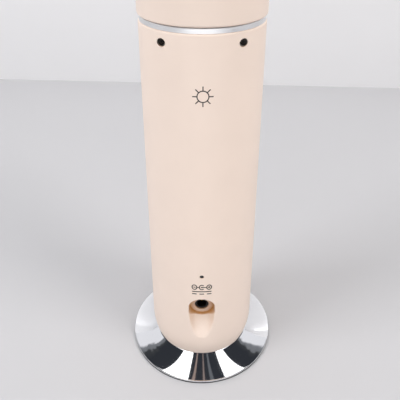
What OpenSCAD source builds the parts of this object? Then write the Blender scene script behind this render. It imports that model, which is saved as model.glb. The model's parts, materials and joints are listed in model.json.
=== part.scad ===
/* [Column] */
// Diameter of the column at its widest, just above the foot
column_base_d = 60; // [59:0.5:62]
// Diameter of the column at its top rim
column_top_d = 54.6; // [54.4:0.1:56]
// Height of the column's top rim above the table
column_top_z = 194.1; // [194:0.1:196]
// Thickness of the moulded walls of the column and the sleeve
wall_t = 2.2; // [1.8:0.1:2.4]
// Radius that rounds the two rims beside the chrome ring
rim_round = 1; // [0.5:0.1:1.5]

/* [Foot] */
// Diameter of the chrome foot
foot_d = 86.2; // [85:0.1:90]
// Height at which the column stands on the foot
seat_z = 8.7; // [8.5:0.1:9.5]
// Diameter of the column where it stands on the foot
seat_d = 57; // [56:0.1:57.4]
// Height of the plain band round the foot's edge
foot_band_h = 1; // [1:0.1:1.8]
// How much the foot's slope sweeps up towards the column, where 0 is a straight cone
foot_flare = 0.4; // [0:0.05:0.4]

/* [Inlet] */
// Height of the power inlet's axis
inlet_z = 44.4; // [44:0.1:46]
// Diameter of the hole round the inlet's nose
inlet_hole_d = 7.8; // [7.4:0.1:8]
// Depth of the inlet's face behind the column's surface
pocket_depth = 6; // [5:0.5:6]
// Width of the finger-shaped recess in front of the inlet
scoop_w = 14.6; // [13:0.2:15]
// Height at which the recess runs out into the surface
scoop_low_z = 23.8; // [23:0.1:25]

/* [Sleeve] */
// Diameter of the lifting sleeve at its lower lip
sleeve_low_d = 55.2; // [55:0.1:56]
// Height of the seam between the sleeve and its cap
sleeve_seam_z = 262; // [262:0.5:266]
// How far the sleeve lifts to uncover the light
lift_travel = 54; // [40:1:54]

/* [Hidden] */
$fn = 96;

base_r = column_base_d / 2;
top_r = column_top_d / 2;
seat_r = seat_d / 2;
waist_z = seat_z + 11;
column_taper = (base_r - top_r) / (column_top_z - waist_z);
tuck_steps = 6;
arc_steps = 6;
floor_t = 2.4;

ring_h = 2.1;
ring_top_z = column_top_z + ring_h;
ring_r = top_r - 0.4;
spigot_r = 24.4;
fit_gap = 0.1;
slide_gap = 0.05;

foot_r = foot_d / 2;
foot_low_z = 0.9;
foot_band_z = foot_low_z + foot_band_h;
foot_lip_r = seat_r + 0.3;
foot_wall = 1.15;
foot_rim_w = 1.4;
foot_steps = 10;
foot_hub_r = 9;
base_screw_pcd_r = 18;
base_screw_angles = [90, 210, 330];
base_screw_hole_r = 1.7;
base_head_r = 2.8;
base_head_z = 2.6;
base_head_h = 2;
ballast_low_z = 2;
plate_low_z = foot_low_z;
plate_t = 0.7;

screw_x = 16.1;
screw_z = 189.5;
screw_hole_r = 1.7;
screw_seat_y = -18.6;
screw_l = 7;
pilot_r = 0.85;

pinhole_z = 70.7;
pinhole_r = 1.1;
icon_z = 169.4;
icon_pad_r = 7;

scoop_r = scoop_w / 2;
inlet_y = -(column_r(inlet_z)) + pocket_depth;
pocket_low_z = inlet_z + 0.3;
pocket_high_z = pocket_low_z + 2.5;
chute_top_z = inlet_z + 0.5;
chute_rise = pocket_low_z - scoop_r - scoop_low_z;
chute_angle = atan(pocket_depth / chute_rise);
scoop_wall = 2;

jack_face_y = inlet_y + 0.8;
jack_back_y = jack_face_y + 13.2;
jack_nose_r = inlet_hole_d / 2 - fit_gap;
jack_mouth_r = 2.85;
jack_mouth_l = 2;
jack_chamber_r = 3.15;
jack_pin_r = 1.05;
jack_back_wall = 3;
jack_w = 9.6;
jack_h = 10.5;
jack_drop = 5;

board_w = 30;
board_t = 1.6;
board_y = jack_back_y;
board_inset = 3;
board_low_z = 37;
board_high_z = 84;

cell_r = 9.2;
cell_l = 65;
cell_x = 9.6;
cell_y = 9;
cell_low_z = 24;

lead_x = 17;
lead_y = -3;
lead_gap = 2.6;
lead_low_z = 96;

rod_r = 4;
rod_wall = 0.8;
rod_top_z = 261;
rod_grip = 5;
stop_h = 4;
stop_r = 6.2;
stop_lug = 1.6;
stop_lug_w = 2;
stop_spare = 0.5;
guide_r = 6.6;
guide_wall = 1.6;
slot_w = 2.6;
bush_h = 8;
lower_bush_z = 186;
upper_bush_z = 238;
rod_low_z = lower_bush_z - stop_spare - stop_h - lift_travel;
guide_low_z = rod_low_z - 3.5;
bonded = 0.02;

core_r = 12;
core_top_z = 246;
led_rows = 5;
led_pitch = 9;
strip_t = 1;
strip_w = 8;
diffuser_r = 22.5;
diffuser_wall = 1.6;
diffuser_top_z = 250;
diffuser_cap_h = 2;

sleeve_low_z = ring_top_z + 0.15;
sleeve_low_r = sleeve_low_d / 2;
sleeve_top_r = sleeve_low_r - column_taper * (sleeve_seam_z - sleeve_low_z);
cap_h = 7;
cap_round = 5;
cap_t = 2.4;
cap_boss_r = 7;

ivory = [0.93, 0.84, 0.76];
chrome = [0.86, 0.87, 0.89];
black = [0.06, 0.06, 0.07];
white = [0.93, 0.93, 0.91];

// Outer radius of the column: a straight taper, tucked in below the waist
function column_r(z) =
    z >= waist_z
    ? base_r - column_taper * (z - waist_z)
    : base_r - (base_r - seat_r) * pow((waist_z - z) / (waist_z - seat_z), 2);

// Height of the foot's skin: a sweep that steepens from the rim to the column
function foot_z(r) =
    let (t = (foot_r - r) / (foot_r - foot_lip_r))
    foot_band_z + (seat_z - foot_band_z) * ((1 - foot_flare) * t + foot_flare * t * t);

// Points along the foot's skin between two radii, lowered by a distance
function foot_sweep(r_from, r_to, lowered) =
    [for (i = [0 : foot_steps])
        let (r = r_from + (r_to - r_from) * i / foot_steps)
        [r, foot_z(r) - lowered]];

// Points of a quarter circle about a centre, from one angle to another
function arc(cx, cz, r, from, to) =
    [for (i = [0 : arc_steps])
        let (a = from + (to - from) * i / arc_steps)
        [cx + r * cos(a), cz + r * sin(a)]];

function column_tuck(inset, from_z) =
    [for (i = [0 : tuck_steps])
        let (z = from_z + (waist_z - from_z) * i / tuck_steps)
        [column_r(z) - inset, z]];

module ring(r_out, r_in, z, h) {
    translate([0, 0, z])
        difference() {
            cylinder(r = r_out, h = h);
            translate([0, 0, -1]) cylinder(r = r_in, h = h + 2);
        }
}

// A round bar along Y between two places
module y_bar(r, x, z, y_from, y_to) {
    translate([x, y_to, z])
        rotate([90, 0, 0])
            cylinder(r = r, h = y_to - y_from, $fn = 48);
}

// A round bar along Z
module z_bar(r, x, y, z_from, z_to) {
    translate([x, y, z_from])
        cylinder(r = r, h = z_to - z_from, $fn = 48);
}

// ---- foot ----

module foot_shell() {
    color(chrome)
        difference() {
            rotate_extrude()
                polygon(concat([[foot_r, foot_low_z]],
                               foot_sweep(foot_r, foot_lip_r, 0),
                               [[foot_hub_r, seat_z], [foot_hub_r, seat_z - foot_wall]],
                               foot_sweep(foot_lip_r, foot_r - foot_rim_w, foot_wall),
                               [[foot_r - foot_rim_w, foot_low_z]]));
            base_screw_places() z_bar(base_screw_hole_r, 0, 0, foot_low_z, seat_z + 1);
        }
}

module base_screw_places() {
    for (a = base_screw_angles)
        rotate([0, 0, a]) translate([base_screw_pcd_r, 0, 0]) children();
}

module ballast_ring() {
    top_z = seat_z - foot_wall;
    clear = 0.6;
    edge_r = foot_r - 6;
    slope = [for (p = foot_sweep(edge_r + clear, foot_lip_r, foot_wall)) [p[0] - clear, p[1]]];
    color([0.22, 0.22, 0.23])
        difference() {
            rotate_extrude()
                polygon(concat([[foot_hub_r + 1, ballast_low_z], [edge_r, ballast_low_z]],
                               slope,
                               [[foot_hub_r + 1, top_z]]));
            base_screw_places() {
                z_bar(base_screw_hole_r, 0, 0, 1, seat_z);
                z_bar(base_head_r + 0.4, 0, 0, 1, base_head_z + base_head_h);
            }
        }
}

module base_plate() {
    color(black)
        translate([0, 0, plate_low_z]) cylinder(r = foot_r - 3.4, h = plate_t);
}

module foot_pad() {
    color([0.12, 0.12, 0.12])
        ring(foot_r - 0.05, foot_r - 11.5, 0, foot_low_z);
}

module base_screws() {
    shank_r = 1.45;
    shank_top_z = seat_z + 8;
    cross_l = 3.8;
    cross_w = 0.8;
    cross_depth = 1;
    color([0.6, 0.6, 0.62])
        base_screw_places()
            difference() {
                union() {
                    z_bar(base_head_r, 0, 0, base_head_z, base_head_z + base_head_h);
                    z_bar(shank_r, 0, 0, base_head_z + base_head_h, shank_top_z);
                }
                translate([-cross_w / 2, -cross_l / 2, base_head_z - 0.1])
                    cube([cross_w, cross_l, cross_depth + 0.1]);
                translate([-cross_l / 2, -cross_w / 2, base_head_z - 0.1])
                    cube([cross_l, cross_w, cross_depth + 0.1]);
            }
}

// ---- column ----

module column_solid() {
    rotate_extrude()
        polygon(concat([[0, seat_z]],
                       column_tuck(0, seat_z),
                       arc(top_r - rim_round, column_top_z - rim_round, rim_round, 0, 90),
                       [[0, column_top_z]]));
}

module column_hollow() {
    rotate_extrude()
        polygon(concat([[0, seat_z + floor_t]],
                       column_tuck(wall_t, seat_z + floor_t),
                       [[top_r - wall_t, column_top_z + 1], [0, column_top_z + 1]]));
}

// The recess that a plug reaches through: a round-ended pocket and a chute
module scoop(grow) {
    r = scoop_r + grow;
    face_y = inlet_y + grow;
    for (z = [pocket_low_z, pocket_high_z])
        y_bar(r, 0, z, -base_r - 10, face_y);
    translate([-r, -base_r - 10, pocket_low_z])
        cube([2 * r, face_y + base_r + 10, pocket_high_z - pocket_low_z]);
    intersection() {
        translate([0, -column_r(scoop_low_z) + grow, scoop_low_z])
            rotate([-chute_angle, 0, 0])
                translate([0, -r, -20]) cylinder(r = r, h = 60);
        translate([-r, -base_r - 10, 0])
            cube([2 * r, face_y + base_r + 10, chute_top_z]);
    }
}

module column_shell() {
    color(ivory)
        difference() {
            union() {
                difference() {
                    column_solid();
                    column_hollow();
                }
                intersection() {
                    column_solid();
                    scoop(scoop_wall);
                }
                base_screw_places() z_bar(3.4, 0, 0, seat_z + 1, seat_z + 9);
            }
            scoop(0);
            y_bar(inlet_hole_d / 2, 0, inlet_z, inlet_y - 1, inlet_y + scoop_wall + 1);
            y_bar(pinhole_r, 0, pinhole_z, -base_r - 1, -base_r + 6);
            for (side = [-1, 1])
                y_bar(screw_hole_r, side * screw_x, screw_z, -base_r - 1, screw_seat_y + 1);
            base_screw_places() z_bar(1.5, 0, 0, seat_z - 1, seat_z + 10);
        }
}

module column_screws() {
    color([0.35, 0.35, 0.37])
        for (side = [-1, 1])
            difference() {
                union() {
                    y_bar(1.45, side * screw_x, screw_z, screw_seat_y - 1.4, screw_seat_y);
                    y_bar(0.8, side * screw_x, screw_z, screw_seat_y, screw_seat_y + screw_l);
                }
                translate([side * screw_x, screw_seat_y - 1.2, screw_z])
                    for (turn = [0, 90])
                        rotate([0, turn, 0])
                            translate([-0.9, -0.5, -0.2]) cube([1.8, 1.1, 0.4]);
            }
}

// ---- power inlet and electronics ----

module dc_jack() {
    body_y = inlet_y + scoop_wall;
    color(black)
        difference() {
            union() {
                y_bar(jack_nose_r, 0, inlet_z, jack_face_y, body_y + 1);
                translate([-jack_w / 2, body_y, inlet_z - jack_drop])
                    cube([jack_w, jack_back_y - body_y, jack_h]);
            }
            y_bar(jack_mouth_r, 0, inlet_z, jack_face_y - 1, jack_face_y + jack_mouth_l + 1);
            y_bar(jack_chamber_r, 0, inlet_z, jack_face_y + jack_mouth_l, jack_back_y - jack_back_wall);
            y_bar(jack_pin_r + bonded, 0, inlet_z, jack_face_y, jack_back_y + 1);
        }
}

module jack_pin() {
    tip_y = jack_face_y + jack_mouth_l + jack_pin_r + 0.2;
    color([0.8, 0.65, 0.3])
        union() {
            y_bar(jack_pin_r, 0, inlet_z, tip_y, jack_back_y - 0.1);
            translate([0, tip_y, inlet_z]) sphere(r = jack_pin_r, $fn = 32);
        }
}

// The four corners where the board is fixed to the chassis
module board_corners() {
    for (x = [board_inset - board_w / 2, board_w / 2 - board_inset],
         z = [board_low_z + board_inset, board_high_z - board_inset])
        translate([x, 0, z]) children();
}

module control_board() {
    color([0.08, 0.35, 0.2])
        difference() {
            translate([-board_w / 2, board_y, board_low_z])
                cube([board_w, board_t, board_high_z - board_low_z]);
            board_corners() y_bar(1.1, 0, 0, board_y - 1, board_y + board_t + 1);
        }
}

module board_parts() {
    front_y = board_y - 0.01;
    color([0.15, 0.15, 0.16]) {
        translate([-11, front_y - 1.6, 58]) cube([6, 1.6, 5]);
        translate([-11.5, front_y - 3, 66]) cube([6, 3, 6]);
        translate([5, front_y - 1.4, 60]) cube([5, 1.4, 5]);
        for (z = [69, 72, 75]) translate([6, front_y - 0.8, z]) cube([3, 0.8, 1.6]);
        for (z = [76, 79]) translate([-10, front_y - 0.8, z]) cube([3, 0.8, 1.6]);
        y_bar(2.6, 9.5, 53, front_y - 6, front_y);
    }
}

module status_led() {
    color([0.95, 0.95, 0.9])
        translate([-1, board_y - 1.3, pinhole_z - 0.8]) cube([2, 1.29, 1.6]);
}

module light_pipe() {
    color([0.85, 0.9, 0.95, 0.6])
        union() {
            y_bar(pinhole_r - fit_gap, 0, pinhole_z, -base_r + 1.1, board_y - 1.5);
            y_bar(2, 0, pinhole_z, -base_r + 3.3, -base_r + 5);
        }
}

module battery_cells() {
    color([0.25, 0.45, 0.75])
        for (side = [-1, 1]) {
            z_bar(cell_r, side * cell_x, cell_y, cell_low_z, cell_low_z + cell_l);
            z_bar(2.8, side * cell_x, cell_y, cell_low_z + cell_l, cell_low_z + cell_l + 0.8);
        }
}

module battery_tabs() {
    tab_l = 2 * cell_x + 8;
    color([0.8, 0.8, 0.82])
        for (z = [cell_low_z - 0.3, cell_low_z + cell_l + 0.8])
            translate([-tab_l / 2, cell_y - 3.5, z]) cube([tab_l, 7, 0.3]);
}

module chassis() {
    plate_y = board_y + board_t + 1.2;
    disc_r = 25;
    shelf_z = cell_low_z + cell_l + 1.5;
    color(white)
        union() {
            translate([0, 0, cell_low_z - 2.4]) cylinder(r = disc_r, h = 2);
            translate([-17, plate_y, cell_low_z - 1])
                cube([34, 2, guide_low_z - cell_low_z - 1]);
            translate([0, 0, shelf_z]) cylinder(r = disc_r - 0.6, h = 2);
            difference() {
                translate([0, 0, guide_low_z - 4]) cylinder(r = disc_r - 1.2, h = 2);
                translate([0, 0, guide_low_z - 5]) cylinder(r = 3, h = 4);
                translate([lead_x - 2, lead_y - 2, guide_low_z - 5]) cube([10, 4, 4]);
                translate([-2, -disc_r, guide_low_z - 5]) cube([4, 4, 4]);
            }
            board_corners() y_bar(2, 0, 0, board_y + board_t, plate_y + 0.5);
        }
}

// ---- touch control ----

module touch_pad() {
    pad_r = column_r(icon_z) - wall_t - 0.2;
    color([0.75, 0.45, 0.25])
        intersection() {
            ring(pad_r, pad_r - 0.5, icon_z - icon_pad_r, 2 * icon_pad_r);
            y_bar(icon_pad_r, 0, icon_z, -base_r, 0);
        }
}

module touch_lead() {
    touch_y = -column_r(icon_z) + wall_t + 1.7;
    color([0.9, 0.8, 0.2])
        union() {
            z_bar(0.6, 0, touch_y, lead_low_z, icon_z - 2);
            translate([0, touch_y, icon_z - 2]) sphere(r = 0.9, $fn = 32);
        }
}

module power_leads() {
    for (i = [0 : 1])
        color(i == 0 ? [0.8, 0.1, 0.1] : [0.1, 0.1, 0.1])
            z_bar(0.8, lead_x + lead_gap * i, lead_y, lead_low_z, column_top_z - 2);
}

// ---- head of the column ----

module top_collar() {
    skirt_low_z = screw_z - 7;
    skirt_r = top_r - wall_t - 0.2;
    skirt_wall = 2.4;
    deck_t = 3;
    color(white)
        difference() {
            union() {
                translate([0, 0, skirt_low_z])
                    cylinder(r = skirt_r, h = column_top_z - skirt_low_z);
                translate([0, 0, column_top_z - 1]) cylinder(r = spigot_r, h = ring_h + 1);
            }
            translate([0, 0, skirt_low_z - 1])
                cylinder(r = skirt_r - skirt_wall, h = column_top_z - skirt_low_z + 1 - deck_t);
            translate([0, 0, skirt_low_z - 1])
                cylinder(r = guide_r + guide_wall + slide_gap, h = ring_top_z - skirt_low_z + 2);
            for (side = [-1, 1]) {
                y_bar(screw_hole_r, side * screw_x, screw_z, -base_r, screw_seat_y);
                y_bar(pilot_r, side * screw_x, screw_z, screw_seat_y - 1, 0);
            }
            for (i = [0 : 1])
                z_bar(1.1, lead_x + lead_gap * i, lead_y, column_top_z - 5, ring_top_z + 1);
        }
    color(white)
        for (side = [-1, 1])
            difference() {
                y_bar(2.6, side * screw_x, screw_z, screw_seat_y + 0.6, screw_seat_y + screw_l);
                y_bar(pilot_r, side * screw_x, screw_z, screw_seat_y - 1, 0);
            }
}

module trim_ring() {
    color(chrome)
        rotate_extrude()
            polygon(concat([[spigot_r + fit_gap, column_top_z]],
                           [[ring_r, column_top_z]],
                           arc(ring_r - 0.3, ring_top_z - 0.3, 0.3, 0, 90),
                           [[spigot_r + fit_gap, ring_top_z]]));
}

module guide_tube() {
    color([0.85, 0.85, 0.83])
        difference() {
            ring(guide_r + guide_wall, guide_r, guide_low_z, ring_top_z - guide_low_z);
            translate([-slot_w / 2, guide_r - 1, guide_low_z - 1])
                cube([slot_w, guide_wall + 3, lower_bush_z - guide_low_z + 1]);
        }
}

module bush(z) {
    color([0.95, 0.95, 0.9])
        ring(guide_r, rod_r + slide_gap, z, bush_h);
}

module lower_bush() {
    bush(lower_bush_z);
}

module upper_bush() {
    bush(upper_bush_z);
}

module friction_ring() {
    cord_r = 0.9;
    color([0.15, 0.15, 0.15])
        translate([0, 0, lower_bush_z + bush_h + cord_r])
            rotate_extrude()
                translate([rod_r + slide_gap + cord_r, 0]) circle(r = cord_r, $fn = 48);
}

// ---- light ----

module led_core() {
    color([0.75, 0.76, 0.78])
        translate([0, 0, ring_top_z])
            difference() {
                linear_extrude(core_top_z - ring_top_z) circle(r = core_r, $fn = 6);
                translate([0, 0, -1]) cylinder(r = guide_r, h = core_top_z - ring_top_z + 2);
            }
}

module on_core_faces() {
    flat_r = core_r * cos(30);
    for (i = [0 : 5])
        rotate([0, 0, 30 + 60 * i]) translate([flat_r, 0, ring_top_z]) children();
}

module led_strips() {
    color(white)
        on_core_faces()
            translate([0, -strip_w / 2, 1]) cube([strip_t, strip_w, core_top_z - ring_top_z - 2]);
}

module led_chips() {
    color([0.98, 0.85, 0.35])
        on_core_faces()
            for (row = [0 : led_rows - 1])
                translate([strip_t, -1.4, 5 + led_pitch * row]) cube([0.8, 2.8, 2.8]);
}

module diffuser() {
    color([0.98, 0.98, 0.95, 0.8])
        ring(diffuser_r, diffuser_r - diffuser_wall, ring_top_z, diffuser_top_z - ring_top_z);
}

module diffuser_cap() {
    lip_r = diffuser_r - diffuser_wall - 0.1;
    color(white)
        union() {
            ring(diffuser_r, 6.8, diffuser_top_z, diffuser_cap_h);
            ring(lip_r, lip_r - 1.9, diffuser_top_z - 3, 3.5);
        }
}

// ---- lifting sleeve ----

module sleeve_shell() {
    color(ivory)
        rotate_extrude()
            polygon(concat([[sleeve_low_r - wall_t, sleeve_low_z]],
                           arc(sleeve_low_r - rim_round, sleeve_low_z + rim_round, rim_round, -90, 0),
                           [[sleeve_top_r, sleeve_seam_z]],
                           [[sleeve_top_r - wall_t, sleeve_seam_z]]));
}

module top_cap() {
    edge_z = sleeve_seam_z + cap_h - cap_round;
    dome_h = 1.5;
    dome_r = sleeve_top_r - cap_round;
    boss_low_z = rod_top_z - rod_grip - 1;
    color(ivory)
        difference() {
            union() {
                rotate_extrude()
                    polygon(concat([[0, sleeve_seam_z], [sleeve_top_r, sleeve_seam_z]],
                                   arc(sleeve_top_r - cap_round, edge_z, cap_round, 0, 80),
                                   [for (i = [1 : arc_steps])
                                       let (u = 1 - i / arc_steps)
                                       [dome_r * u,
                                        edge_z + cap_round + dome_h * (1 - u * u)]]));
                ring(sleeve_top_r - wall_t - 0.1, sleeve_top_r - wall_t - 2, sleeve_seam_z - 3, 4);
                translate([0, 0, boss_low_z])
                    cylinder(r = cap_boss_r, h = sleeve_seam_z + cap_h - cap_t - boss_low_z + 1);
            }
            translate([0, 0, sleeve_seam_z - 1])
                ring(sleeve_top_r - wall_t - 2, cap_boss_r, 0, cap_h - cap_t);
            translate([0, 0, boss_low_z - 1])
                cylinder(r = rod_r + bonded, h = rod_top_z + 1 - boss_low_z + 1);
        }
}

module lift_rod() {
    color([0.78, 0.79, 0.8])
        ring(rod_r, rod_r - rod_wall, rod_low_z, rod_top_z - rod_low_z);
}

module rod_stop() {
    color([0.25, 0.25, 0.26])
        difference() {
            union() {
                translate([0, 0, rod_low_z]) cylinder(r = stop_r, h = stop_h);
                translate([-stop_lug_w / 2, stop_r - 1, rod_low_z])
                    cube([stop_lug_w, stop_lug + 1, stop_h]);
            }
            translate([0, 0, rod_low_z - 1]) cylinder(r = rod_r + bonded, h = stop_h + 2);
        }
}

foot_shell();
ballast_ring();
base_plate();
foot_pad();
base_screws();
column_shell();
dc_jack();
jack_pin();
control_board();
board_parts();
status_led();
light_pipe();
battery_cells();
battery_tabs();
chassis();
touch_pad();
touch_lead();
power_leads();
top_collar();
column_screws();
trim_ring();
guide_tube();
lower_bush();
upper_bush();
friction_ring();
led_core();
led_strips();
led_chips();
diffuser();
diffuser_cap();
sleeve_shell();
top_cap();
lift_rod();
rod_stop();
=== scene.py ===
import json
import math

import bmesh
import bpy
from mathutils import Matrix, Vector


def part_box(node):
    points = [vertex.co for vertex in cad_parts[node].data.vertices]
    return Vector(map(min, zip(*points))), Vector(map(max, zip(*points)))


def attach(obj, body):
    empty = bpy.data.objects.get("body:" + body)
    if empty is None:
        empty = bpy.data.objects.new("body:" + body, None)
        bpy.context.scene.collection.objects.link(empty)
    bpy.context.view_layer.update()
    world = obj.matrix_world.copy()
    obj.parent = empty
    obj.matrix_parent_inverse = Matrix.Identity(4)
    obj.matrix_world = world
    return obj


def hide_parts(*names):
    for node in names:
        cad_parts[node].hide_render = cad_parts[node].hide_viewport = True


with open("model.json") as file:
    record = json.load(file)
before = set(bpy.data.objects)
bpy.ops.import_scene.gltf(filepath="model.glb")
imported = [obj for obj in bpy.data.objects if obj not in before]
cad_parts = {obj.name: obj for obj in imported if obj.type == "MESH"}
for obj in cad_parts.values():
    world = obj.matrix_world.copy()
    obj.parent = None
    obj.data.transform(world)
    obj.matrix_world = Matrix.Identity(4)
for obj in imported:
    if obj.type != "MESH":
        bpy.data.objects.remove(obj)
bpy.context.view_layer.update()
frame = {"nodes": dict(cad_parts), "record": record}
NODES = frame["nodes"]
RECORD = frame["record"]
MM = 0.001
SHARP_DEG = 32


# ---- places read from the frame ----

def outline(node):
    """(radius, height) of the node's outward-facing skin behind the axis, from the bottom up."""
    levels = {}
    for vertex in NODES[node].data.vertices:
        x, y, z = vertex.co
        radius = math.hypot(x, y)
        if y > 0 and vertex.normal.x * x + vertex.normal.y * y > 0.05 * radius:
            level = round(z, 5)
            levels[level] = max(levels.get(level, 0), radius)
    return [(levels[z], z) for z in sorted(levels)]


def middle(node):
    """The centre of a node's box."""
    low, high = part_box(node)
    return (low + high) / 2


COLUMN = outline("column_shell")
SEAT_R, SEAT_Z = COLUMN[0]
WAIST_R, WAIST_Z = max(COLUMN)
RIM_Z = COLUMN[-1][1]
SLEEVE = outline("sleeve_shell")
SLEEVE_LOW_R = max(SLEEVE)[0]
SLEEVE_TOP_R, SEAM_Z = SLEEVE[-1]
WALL = SLEEVE_TOP_R - max(v.co.x for v in NODES["sleeve_shell"].data.vertices
                          if abs(v.co.z - SEAM_Z) < MM / 10 and v.co.x < SLEEVE_TOP_R - MM)
RIM_ROUND = 1 * MM
RIM_R = min(r for r, z in COLUMN if WAIST_Z < z < RIM_Z - 0.95 * RIM_ROUND)
INLET_Z = middle("jack_pin").z
JACK_FACE_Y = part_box("dc_jack")[0].y
SCREW_HEAD_R = 1.45 * MM
SCREW_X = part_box("column_screws")[1].x - SCREW_HEAD_R
SCREW_Z = middle("column_screws").z
PINHOLE_Z = middle("light_pipe").z
TOUCH_Z = middle("touch_pad").z


def column_radius(z):
    """Radius of the column's outer skin: a straight taper, tucked in below the waist."""
    if z < WAIST_Z:
        return WAIST_R - (WAIST_R - SEAT_R) * ((WAIST_Z - z) / (WAIST_Z - SEAT_Z)) ** 2
    share = (z - WAIST_Z) / (RIM_Z - RIM_ROUND - WAIST_Z)
    return WAIST_R + (RIM_R - WAIST_R) * min(share, 1)


# ---- mesh helpers ----

def finish_mesh(name, built, body, sharp_deg=SHARP_DEG):
    """Turns a bmesh into a smooth-shaded object riding on a body."""
    bmesh.ops.recalc_face_normals(built, faces=built.faces)
    mesh = bpy.data.meshes.new(name)
    built.to_mesh(mesh)
    built.free()
    mesh.polygons.foreach_set("use_smooth", [True] * len(mesh.polygons))
    mesh.set_sharp_from_angle(angle=math.radians(sharp_deg))
    piece = bpy.data.objects.new(name, mesh)
    bpy.context.scene.collection.objects.link(piece)
    if body:
        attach(piece, body)
    return piece


def stand_for(piece, node):
    """The piece is shown instead of the CAD node, which is hidden."""
    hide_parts(node)
    return piece


def arc_points(centre_r, centre_z, radius, start_deg, end_deg, count):
    """Points of an arc in the (radius, height) plane."""
    points = []
    for i in range(count + 1):
        angle = math.radians(start_deg + (end_deg - start_deg) * i / count)
        points.append((centre_r + radius * math.cos(angle), centre_z + radius * math.sin(angle)))
    return points


def steps(start, end, size):
    """Even values from start up to, but not including, end, no further apart than size."""
    count = max(1, math.ceil((end - start) / size - 1e-6))
    return [start + (end - start) * i / count for i in range(count)]


def even_turn(count=180):
    return [2 * math.pi * i / count for i in range(count)]


def lathe(profile, turn, closed, place=None):
    """A bmesh of the (radius, height) profile at each angle of the turn, which starts at the front, -Y.

    A closed profile makes a ring; an open one runs from the axis to the axis.
    place(x, y, z, i) moves a point of row i of the profile.
    """
    built = bmesh.new()
    rings = []
    for i, (radius, z) in enumerate(profile):
        if radius < MM / 1000:
            rings.append([built.verts.new((0, 0, z))])
            continue
        ring = []
        for angle in turn:
            point = (radius * math.sin(angle), -radius * math.cos(angle), z)
            ring.append(built.verts.new(place(*point, i) if place else point))
        rings.append(ring)
    pairs = list(zip(rings, rings[1:]))
    if closed:
        pairs.append((rings[-1], rings[0]))
    for low, high in pairs:
        for j in range(len(turn)):
            k = (j + 1) % len(turn)
            if len(low) == 1:
                built.faces.new((low[0], high[k], high[j]))
            elif len(high) == 1:
                built.faces.new((low[j], low[k], high[0]))
            else:
                built.faces.new((low[j], low[k], high[k], high[j]))
    return built


def drill(piece, cutters):
    """Cuts each cutter object out of the piece and removes the cutters."""
    for cutter in cutters:
        cut = piece.modifiers.new("drill", "BOOLEAN")
        cut.operation = "DIFFERENCE"
        cut.solver = "EXACT"
        cut.object = cutter
    graph = bpy.context.evaluated_depsgraph_get()
    drilled = bpy.data.meshes.new_from_object(piece.evaluated_get(graph))
    piece.modifiers.clear()
    piece.data = drilled
    piece.data.set_sharp_from_angle(angle=math.radians(SHARP_DEG))
    for cutter in cutters:
        bpy.data.objects.remove(cutter)


def hole_cutter(x, z, mouth_y, end_y, radius, flare):
    """A round bar along Y whose mouth widens by the flare."""
    profile = [(0, mouth_y - 8 * MM), (radius + flare, mouth_y - 8 * MM), (radius + flare, mouth_y)]
    profile += [(radius + flare * (1 - math.sin(a)), mouth_y + flare * (1 - math.cos(a)))
                for a in [math.pi / 2 * i / 5 for i in range(1, 6)]]
    profile += [(radius, end_y), (0, end_y)]
    built = lathe(profile, even_turn(48), closed=False)
    bmesh.ops.transform(built, matrix=Matrix.Rotation(math.radians(-90), 4, "X"), verts=built.verts)
    bmesh.ops.translate(built, vec=(x, 0, z), verts=built.verts)
    return finish_mesh("cutter", built, None)


# ---- the recess round the power inlet ----

POCKET_DEPTH = 6 * MM
FACE_WALL = 0.8 * MM
FACE_Y = JACK_FACE_Y - FACE_WALL
SCOOP_R = 7.2 * MM
POCKET_LOW_Z = INLET_Z + 0.3 * MM
POCKET_HIGH_Z = POCKET_LOW_Z + 2.5 * MM
POCKET_WALL_RUN = 0.6 * MM
CHUTE_LOW_Z = 23.8 * MM
CHUTE_DEPTH = 4.9 * MM
CHUTE_RISE = POCKET_LOW_Z - SCOOP_R - CHUTE_LOW_Z + MM
CHUTE_POWER = 2.8
CHUTE_BELLY = 0.2
CHUTE_FALL = 2
CHUTE_END_CUT = 0.5 * MM
POCKET_BLEND = 1.8 * MM
SKIN_BLEND = 0.9 * MM
SCOOP_WALL = 2 * MM
INLET_HOLE_R = 3.9 * MM
PINHOLE_R = 1.1 * MM
PINHOLE_DEPTH = 6 * MM
SCREW_HOLE_R = 1.7 * MM
SCREW_MOUTH = 1.3 * MM
SCREW_DEPTH = 4 * MM


def soft_max(a, b, blend):
    overlap = max(blend - abs(a - b), 0)
    return max(a, b) + overlap * overlap / (4 * blend)


def scoop_floor(x, z, grow=0.0):
    """How far back the recess, grown by a wall, reaches there: a pocket with drafted walls, and a chute."""
    radius = SCOOP_R + grow
    nearest_z = min(max(z, POCKET_LOW_Z), POCKET_HIGH_Z)
    beyond = math.hypot(x, z - nearest_z) - radius + POCKET_WALL_RUN
    pocket = FACE_Y + grow - max(beyond, 0) * POCKET_DEPTH / POCKET_WALL_RUN
    below = (POCKET_LOW_Z - z) / (POCKET_LOW_Z - CHUTE_LOW_Z + grow)
    away = min(max(below, (z - POCKET_LOW_Z) / radius), 0.999)
    half_w = radius * math.sqrt(1 - away ** 2)
    rise = min(max((z - CHUTE_LOW_Z + grow) / CHUTE_RISE, 0), 1)
    depth = CHUTE_DEPTH * rise * (1 + CHUTE_BELLY - CHUTE_BELLY * rise) + grow
    surface = -math.sqrt(max(column_radius(z) ** 2 - x ** 2, 0))
    chute = surface + depth * (1 - abs(x / half_w) ** CHUTE_POWER)
    chute -= CHUTE_FALL * max(z - POCKET_LOW_Z, 0)
    chute -= CHUTE_FALL * max(CHUTE_LOW_Z + CHUTE_END_CUT - grow - z, 0)
    return soft_max(pocket, chute, POCKET_BLEND)


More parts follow.
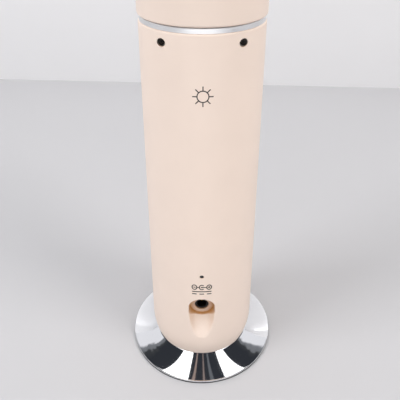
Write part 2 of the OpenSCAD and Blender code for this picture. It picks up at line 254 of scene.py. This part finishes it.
def column_skin():
    """The moulded column with softly rounded edges round its recess and holes."""
    fine_low, fine_high = CHUTE_LOW_Z - 2 * MM, POCKET_HIGH_Z + SCOOP_R + 2 * MM
    bands = [(SEAT_Z, 0.8), (WAIST_Z, 1), (fine_low, 0.28), (fine_high, 2), (PINHOLE_Z - 2 * MM, 0.5),
             (PINHOLE_Z + 2 * MM, 6), (SCREW_Z - 3 * MM, 0.5), (RIM_Z - RIM_ROUND, None)]
    rows = []
    for (low_z, row_mm), (high_z, _) in zip(bands, bands[1:]):
        rows += steps(low_z, high_z, row_mm * MM)
    outer = [(column_radius(z), z) for z in rows]
    rim = arc_points(RIM_R - RIM_ROUND, RIM_Z - RIM_ROUND, RIM_ROUND, 0, 90, 8)
    floor_z = SEAT_Z + 2.4 * MM
    inner_rows = steps(floor_z, fine_high, 0.7 * MM) + steps(fine_high, RIM_Z - 2 * MM, 8 * MM)
    inner = [(column_radius(z) - WALL, z) for z in reversed(inner_rows)]
    inner_from = len(outer) + len(rim) + 2
    profile = [(0, SEAT_Z)] + outer + rim + [(RIM_R - WALL, RIM_Z)] + inner + [(0, floor_z)]

    def place(x, y, z, i):
        if y > -RIM_R / 2 or abs(x) > SCOOP_R + 3 * MM or not fine_low < z < fine_high:
            return x, y, z
        if i < inner_from:
            return x, soft_max(y, scoop_floor(x, z), SKIN_BLEND), z
        return x, max(y, scoop_floor(x, z, SCOOP_WALL)), z

    half_front = math.asin((SCOOP_R + 2.2 * MM) / WAIST_R)
    half_face = math.radians(45)
    turn = steps(-half_front, half_front, 0.0095) + steps(half_front, half_face, 0.02)
    turn += steps(half_face, 2 * math.pi - half_face, 0.04) + steps(-half_face, -half_front, 0.02)
    piece = finish_mesh("column_skin", lathe(profile, turn, False, place), "lamp_base")
    screw_y = -math.sqrt(column_radius(SCREW_Z) ** 2 - SCREW_X ** 2)
    drill(piece, [
        hole_cutter(0, INLET_Z, FACE_Y, FACE_Y + SCOOP_WALL + MM, INLET_HOLE_R, 0.3 * MM),
        hole_cutter(0, PINHOLE_Z, -column_radius(PINHOLE_Z), -WAIST_R + PINHOLE_DEPTH, PINHOLE_R, 0.2 * MM),
        *[hole_cutter(x, SCREW_Z, screw_y - SCREW_MOUTH, screw_y + SCREW_DEPTH, SCREW_HOLE_R, 0.25 * MM)
          for x in (-SCREW_X, SCREW_X)],
    ])
    return stand_for(piece, "column_shell")


# ---- chrome foot and ring ----

def foot():
    """The spun chrome foot: its skin sweeps up from a narrow band that stands on the rubber pad."""
    skin = [point for point in outline("foot_shell") if point[0] > SEAT_R]
    rim_r, low_z = skin[0]
    band_z = skin[1][1]
    lip_r, seat_z = skin[-1]
    flare = 0.4
    wall, rim_w, hub_r, edge = 1.15 * MM, 1.4 * MM, 9 * MM, 0.2 * MM

    def sweep(r_from, r_to, lowered, count):
        points = []
        for i in range(count + 1):
            radius = r_from + (r_to - r_from) * i / count
            t = (rim_r - radius) / (rim_r - lip_r)
            points.append((radius, band_z + (seat_z - band_z) * ((1 - flare) * t + flare * t * t) - lowered))
        return points

    profile = [(rim_r - edge, low_z), (rim_r, low_z + edge)]
    profile += arc_points(rim_r - edge, band_z - edge * 0.6, edge, 0, 70, 5)
    profile += sweep(rim_r - edge, lip_r, 0, 40)
    profile += [(hub_r, seat_z), (hub_r, seat_z - wall)] + sweep(lip_r, rim_r - rim_w, wall, 12)
    profile += [(rim_r - rim_w, low_z)]
    piece = finish_mesh("foot_skin", lathe(profile, even_turn(288), True), "lamp_base", 40)
    return stand_for(piece, "foot_shell")


# ---- lifting sleeve ----

def sleeve_skin():
    low_z = SLEEVE[0][1]
    lip = arc_points(SLEEVE_LOW_R - RIM_ROUND, low_z + RIM_ROUND, RIM_ROUND, -90, 0, 8)
    seam = 0.25 * MM
    profile = [(SLEEVE_LOW_R - WALL, low_z)] + lip
    profile += [(SLEEVE_TOP_R, SEAM_Z - seam), (SLEEVE_TOP_R - seam, SEAM_Z), (SLEEVE_TOP_R - WALL, SEAM_Z)]
    piece = finish_mesh("sleeve_skin", lathe(profile, even_turn(), True), "sleeve")
    return stand_for(piece, "sleeve_shell")


# ---- printed marks ----

MARK_PROUD = 0.03 * MM
MARK_STEP = 0.4 * MM
POLARITY_Z = 63.4 * MM
CURRENT_Z = 59.4 * MM


def printed(name, strokes, centre_z, width, shift_x=0.0):
    """Thin ink lines on the column. A stroke is a list of (across, up) points in metres about the centre."""
    built = bmesh.new()

    def on_skin(across, up, proud):
        z = centre_z + up
        radius = column_radius(z) + proud
        angle = (across + shift_x) / column_radius(z)
        return built.verts.new((radius * math.sin(angle), -radius * math.cos(angle), z))

    for stroke in strokes:
        loop = stroke[0] == stroke[-1]
        points = []
        for (u0, v0), (u1, v1) in zip(stroke, stroke[1:]):
            cuts = max(1, math.ceil(math.hypot(u1 - u0, v1 - v0) / MARK_STEP))
            points += [(u0 + (u1 - u0) * c / cuts, v0 + (v1 - v0) * c / cuts) for c in range(cuts)]
        if not loop:
            points.append(stroke[-1])
        count = len(points)
        rings = []
        for i, (u, v) in enumerate(points):
            before = points[(i - 1) % count] if loop or i else points[i]
            after = points[(i + 1) % count] if loop or i < count - 1 else points[i]
            along = Vector((after[0] - before[0], after[1] - before[1])).normalized() * width / 2
            sides = [(u - along.y, v + along.x), (u + along.y, v - along.x)]
            rings.append([on_skin(*sides[0], -MARK_PROUD), on_skin(*sides[0], MARK_PROUD),
                          on_skin(*sides[1], MARK_PROUD), on_skin(*sides[1], -MARK_PROUD)])
        pairs = list(zip(rings, rings[1:]))
        if loop:
            pairs.append((rings[-1], rings[0]))
        else:
            built.faces.new(rings[0])
            built.faces.new(rings[-1])
        for a, b in pairs:
            for k in range(4):
                built.faces.new((a[k], a[(k + 1) % 4], b[(k + 1) % 4], b[k]))
    return finish_mesh(name, built, "lamp_base")


def circle(centre_u, centre_v, radius_u, radius_v, start_deg=0, end_deg=360, points=40):
    angles = [math.radians(start_deg + (end_deg - start_deg) * i / points) for i in range(points + 1)]
    found = [(centre_u + radius_u * math.cos(a), centre_v + radius_v * math.sin(a)) for a in angles]
    if end_deg - start_deg == 360:
        found[-1] = found[0]
    return found


def sun_mark():
    """The brightness sign over the touch pad: a ring and eight rays."""
    ring_r = 2.42 * MM
    strokes = [circle(0, 0, ring_r, ring_r, points=64)]
    for i in range(8):
        a = math.pi * i / 4
        strokes.append([(r * math.cos(a), r * math.sin(a)) for r in (2.5 * MM, 4.35 * MM)])
    return printed("sun_mark", strokes, TOUCH_Z, 0.45 * MM, 0.3 * MM)


def polarity_mark():
    """The sign for a centre-positive plug: minus, socket, plus."""
    pitch, ring_u, ring_v = 3.9 * MM, 1.25 * MM, 1.6 * MM
    tick = 0.6 * MM
    strokes = [circle(-pitch, 0, ring_u, ring_v), circle(pitch, 0, ring_u, ring_v)]
    strokes.append(circle(0, 0, ring_u, ring_v, 40, 320))
    strokes.append([(-pitch + ring_u, 0), (-ring_u, 0)])
    strokes.append([(0, 0), (pitch - ring_u, 0)])
    strokes.append([(-pitch - tick, 0), (-pitch + tick, 0)])
    strokes.append([(pitch - tick, 0), (pitch + tick, 0)])
    strokes.append([(pitch, -tick * 1.2), (pitch, tick * 1.2)])
    strokes.append(circle(0, 0, 0.16 * MM, 0.2 * MM, points=16))
    return printed("polarity_mark", strokes, POLARITY_Z, 0.56 * MM)


def direct_current_mark():
    """The sign for direct current: a long line over three dashes."""
    half, gap_v = 5.2 * MM, 0.85 * MM
    dash = 2 * half / 4.2
    strokes = [[(-half, gap_v), (half, gap_v)]]
    for i in (-1, 0, 1):
        centre = i * (half - dash / 2)
        strokes.append([(centre - dash / 2, -gap_v), (centre + dash / 2, -gap_v)])
    return printed("direct_current_mark", strokes, CURRENT_Z, 0.6 * MM)


# ---- materials ----

def finish_of(name, colour, roughness, metallic=0.0, mottle=0.04, mottle_mm=9.0, grain_mm=0.5,
              grain_depth_mm=0.004, polish=0.06, painted_shade_colour=None, **sockets):
    """A Principled material whose colour and roughness drift over a few millimetres, with a fine grain.

    Painted shade: a given shade colour is mixed into the base colour where ambient occlusion finds the piece
    shading itself, as in its recesses.
    """
    made = bpy.data.materials.new(name)
    made.use_nodes = True
    nodes, links = made.node_tree.nodes, made.node_tree.links
    shader = nodes["Principled BSDF"]
    place = nodes.new("ShaderNodeTexCoord")
    drift = nodes.new("ShaderNodeTexNoise")
    drift.inputs["Scale"].default_value = 1 / (mottle_mm * MM)
    drift.inputs["Detail"].default_value = 4
    links.new(place.outputs["Object"], drift.inputs["Vector"])
    tint = nodes.new("ShaderNodeValToRGB")
    for stop, amount in zip(tint.color_ramp.elements, (1 - mottle, 1 + mottle)):
        stop.color = [min(channel * amount, 1) for channel in colour] + [1]
    tint.color_ramp.elements[0].position = 0.3
    tint.color_ramp.elements[1].position = 0.7
    links.new(drift.outputs["Fac"], tint.inputs["Fac"])
    # Painted shade: ambient occlusion pulls the base colour towards the shade colour in hollows and recesses.
    if painted_shade_colour:
        shade = nodes.new("ShaderNodeAmbientOcclusion")
        shade.only_local = True
        shade.inputs["Distance"].default_value = 20 * MM
        painted_shade_mix = nodes.new("ShaderNodeMixRGB")
        painted_shade_mix.inputs["Color1"].default_value = (*painted_shade_colour, 1)
        depth = nodes.new("ShaderNodeMapRange")
        depth.inputs["From Min"].default_value = 0.4
        depth.inputs["From Max"].default_value = 0.92
        links.new(shade.outputs["AO"], depth.inputs["Value"])
        links.new(depth.outputs["Result"], painted_shade_mix.inputs["Fac"])
        links.new(tint.outputs["Color"], painted_shade_mix.inputs["Color2"])
        links.new(painted_shade_mix.outputs["Color"], shader.inputs["Base Color"])
    else:
        links.new(tint.outputs["Color"], shader.inputs["Base Color"])
    gloss = nodes.new("ShaderNodeMapRange")
    gloss.inputs["To Min"].default_value = max(roughness - polish, 0)
    gloss.inputs["To Max"].default_value = roughness + polish
    links.new(drift.outputs["Fac"], gloss.inputs["Value"])
    links.new(gloss.outputs["Result"], shader.inputs["Roughness"])
    grain = nodes.new("ShaderNodeTexNoise")
    grain.inputs["Scale"].default_value = 1 / (grain_mm * MM)
    grain.inputs["Detail"].default_value = 3
    links.new(place.outputs["Object"], grain.inputs["Vector"])
    bump = nodes.new("ShaderNodeBump")
    bump.inputs["Distance"].default_value = grain_depth_mm * MM
    links.new(grain.outputs["Fac"], bump.inputs["Height"])
    links.new(bump.outputs["Normal"], shader.inputs["Normal"])
    shader.inputs["Metallic"].default_value = metallic
    for socket, value in sockets.items():
        shader.inputs[socket.replace("_", " ")].default_value = value
    return made


FINISHES = {
    # The ivory carries painted shade: a dark tan mixed in where its recesses shade themselves.
    "ivory_plastic": finish_of("ivory_plastic", (0.85, 0.705, 0.61), 0.46, mottle=0.012, mottle_mm=14,
                               painted_shade_colour=(0.5, 0.24, 0.07)),
    "chrome": finish_of("chrome", (0.9, 0.905, 0.92), 0.05, 1.0, mottle=0.01, mottle_mm=20, polish=0.02,
                        grain_mm=6),
    "cast_iron": finish_of("cast_iron", (0.1, 0.1, 0.105), 0.7, 0.6, grain_mm=0.8, grain_depth_mm=0.08),
    "black_plastic": finish_of("black_plastic", (0.005, 0.005, 0.005), 0.5, grain_depth_mm=0.01),
    "rubber": finish_of("rubber", (0.025, 0.025, 0.025), 0.75, grain_depth_mm=0.02),
    "steel": finish_of("steel", (0.6, 0.61, 0.63), 0.25, 1.0),
    "dark_steel": finish_of("dark_steel", (0.03, 0.026, 0.024), 0.5, 0.6),
    "brass": finish_of("brass", (0.75, 0.56, 0.25), 0.22, 1.0),
    "nickel": finish_of("nickel", (0.68, 0.66, 0.62), 0.28, 1.0),
    "copper": finish_of("copper", (0.72, 0.38, 0.2), 0.3, 1.0),
    "circuit_board": finish_of("circuit_board", (0.02, 0.17, 0.07), 0.35, mottle=0.15, mottle_mm=2),
    "clear_plastic": finish_of("clear_plastic", (0.02, 0.02, 0.02), 0.3, mottle=0.02),
    "battery_wrap": finish_of("battery_wrap", (0.07, 0.22, 0.5), 0.3, mottle=0.03),
    "wire_insulation": finish_of("wire_insulation", (0.6, 0.06, 0.05), 0.4),
    "white_plastic": finish_of("white_plastic", (0.8, 0.8, 0.77), 0.5),
    "bearing_plastic": finish_of("bearing_plastic", (0.85, 0.84, 0.78), 0.3),
    "aluminium": finish_of("aluminium", (0.7, 0.71, 0.73), 0.35, 1.0, grain_mm=0.3),
    "phosphor": finish_of("phosphor", (0.9, 0.7, 0.2), 0.45),
    "opal": finish_of("opal", (0.9, 0.89, 0.85), 0.3, mottle=0.01, Transmission_Weight=0.25),
}
RING_CHROME = finish_of("ring_chrome", (0.97, 0.97, 0.975), 0.42, 1.0, mottle=0.01, mottle_mm=20,
                        grain_mm=0.4)
INK = finish_of("ink", (0.02, 0.015, 0.013), 0.5, mottle=0.2, mottle_mm=0.6)


def paint(piece, material):
    piece.data.materials.clear()
    piece.data.materials.append(material)


def paint_nodes():
    """Each CAD node gets the finish of its slot in the record, and the trim ring a satin chrome."""
    for part in RECORD["subparts"]:
        paint(NODES[part["node"]], FINISHES[part["material_slot"]])
    paint(NODES["trim_ring"], RING_CHROME)


# ---- studio ----

def stage_backdrop():
    """A plain pale floor, and a paler wall behind the object, turned a little to the camera."""
    for name, size, place, turned, colour in (
            ("studio_floor", (3.2, 2.4), (0, -0.6, 0), (0, 0, 0), (0.545, 0.54, 0.553)),
            ("studio_wall", (3.2, 0.57), (0, 0.427, 0.285), (math.pi / 2, 0, math.radians(-3.1)),
             (0.84, 0.833, 0.842))):
        built = bmesh.new()
        bmesh.ops.create_grid(built, x_segments=8, y_segments=8, size=0.5)
        bmesh.ops.scale(built, vec=(*size, 1), verts=built.verts)
        sheet = finish_mesh(name, built, None)
        sheet.location, sheet.rotation_euler = place, turned
        paint(sheet, finish_of(name, colour, 0.7, mottle=0.004, mottle_mm=60, grain_mm=2))


def area_light(name, place, aim, size, radiance, colour=(1, 1, 1), seen=True):
    """A rectangular softbox of that radiance, pointed at a place. seen is whether gloss mirrors it."""
    light = bpy.data.lights.new(name, "AREA")
    light.shape = "RECTANGLE"
    light.size, light.size_y = size
    light.energy = radiance * math.pi * size[0] * size[1]
    light.color = colour
    lamp = bpy.data.objects.new(name, light)
    lamp.location = place
    lamp.rotation_euler = (Vector(aim) - Vector(place)).to_track_quat("-Z", "Y").to_euler()
    lamp.visible_glossy = seen
    lamp.visible_camera = False
    bpy.context.scene.collection.objects.link(lamp)
    return lamp


def studio_world():
    """A pale room low down and to the back, and dark overhead towards the front, between the softboxes."""
    world = bpy.data.worlds.new("studio")
    world.use_nodes = True
    nodes, links = world.node_tree.nodes, world.node_tree.links
    place = nodes.new("ShaderNodeTexCoord")
    split = nodes.new("ShaderNodeSeparateXYZ")
    links.new(place.outputs["Generated"], split.inputs["Vector"])
    aside = nodes.new("ShaderNodeMath")
    aside.operation = "ABSOLUTE"
    links.new(split.outputs["X"], aside.inputs[0])
    folded = nodes.new("ShaderNodeCombineXYZ")
    links.new(aside.outputs["Value"], folded.inputs["X"])
    links.new(split.outputs["Y"], folded.inputs["Y"])
    links.new(split.outputs["Z"], folded.inputs["Z"])
    measure = nodes.new("ShaderNodeVectorMath")
    measure.operation = "DOT_PRODUCT"
    measure.inputs[1].default_value = (0.63, 1, -1)
    links.new(folded.outputs["Vector"], measure.inputs[0])
    clutter = nodes.new("ShaderNodeTexNoise")
    clutter.inputs["Scale"].default_value = 5
    clutter.inputs["Detail"].default_value = 4
    clutter.inputs["Distortion"].default_value = 1.5
    links.new(place.outputs["Generated"], clutter.inputs["Vector"])
    uneven = nodes.new("ShaderNodeMath")
    uneven.operation = "MULTIPLY_ADD"
    uneven.inputs[1].default_value = 0.3
    links.new(clutter.outputs["Fac"], uneven.inputs[0])
    links.new(measure.outputs["Value"], uneven.inputs[2])
    blend = nodes.new("ShaderNodeMapRange")
    blend.inputs["From Min"].default_value = -0.5
    blend.inputs["From Max"].default_value = 0.5
    links.new(uneven.outputs["Value"], blend.inputs["Value"])
    tone = nodes.new("ShaderNodeValToRGB")
    stops = tone.color_ramp.elements
    stops[0].position, stops[0].color = 0.36, (0.03, 0.033, 0.04, 1)
    stops[1].position, stops[1].color = 0.66, (0.8, 0.8, 0.83, 1)
    for position, level in ((0.48, 0.05), (0.51, 0.17), (0.6, 0.2)):
        stops.new(position).color = (level, level * 1.04, level * 1.12, 1)
    links.new(blend.outputs["Result"], tone.inputs["Fac"])
    links.new(tone.outputs["Color"], nodes["Background"].inputs["Color"])
    bpy.context.scene.world = world


def studio_lights():
    """Two tall softboxes overhead that the chrome mirrors, and keys and fills that it doesn't."""
    for x, width, turned in ((-0.326, 0.29, -10), (0.44, 0.24, 16)):
        box = area_light(f"softbox_{turned}", (x, -0.25, 1), (x, -0.25, 0), (width, 1.1), 2.0)
        box.rotation_euler = (0, 0, math.radians(turned))
    for x, width, radiance, colour in ((-0.1, 0.03, 0.3, (1, 0.72, 0.6)), (0.03, 0.02, 0.25, (1, 0.75, 0.65)),
                                       (0.13, 0.04, 0.12, (0.9, 0.95, 1))):
        strip = area_light(f"strip_{x}", (x, -0.3, 1), (x, -0.3, 0), (width, 0.9), radiance, colour)
        strip.rotation_euler = (0, 0, 0.6 * x)
    area_light("key_left", (0.81, -0.5, 1.0), (0, 0, 0.05), (0.5, 0.5), 9.2, (1, 0.975, 0.95), False)
    area_light("key_right", (-0.88, -0.39, 1.0), (0, 0, 0.05), (0.5, 0.5), 10.6, (0.97, 0.985, 1), False)
    area_light("front_top", (0, -1.1, 1.0), (0, 0, 0.05), (1.2, 0.9), 1.0, seen=False)
    area_light("front_low", (0, -0.38, 0.08), (0, 0, 0.05), (0.5, 0.12), 1.6)
    area_light("back_wash", (0, 0.38, 0.45), (0, 0.3, 0), (1.4, 0.05), 3.0, seen=False)


def studio_camera():
    """The camera looks down at the lower part of the lamp from just in front of it."""
    lens = bpy.data.cameras.new("camera")
    lens.lens = 41.9
    lens.sensor_width = 36
    lens.shift_x = -0.0067
    lens.shift_y = -0.03
    lens.clip_start = 0.01
    camera = bpy.data.objects.new("camera", lens)
    camera.location = (0, -0.2043, 0.2429)
    camera.rotation_euler = (math.radians(90 - 33.667), math.radians(-0.15), 0)
    bpy.context.scene.collection.objects.link(camera)
    bpy.context.scene.camera = camera
    bpy.context.scene.view_settings.view_transform = "Standard"


# ---- build ----

studio_camera()
studio_world()
studio_lights()
stage_backdrop()
paint_nodes()
for skin in (column_skin(), sleeve_skin()):
    paint(skin, FINISHES["ivory_plastic"])
paint(foot(), FINISHES["chrome"])
for mark in (sun_mark(), polarity_mark(), direct_current_mark()):
    paint(mark, INK)
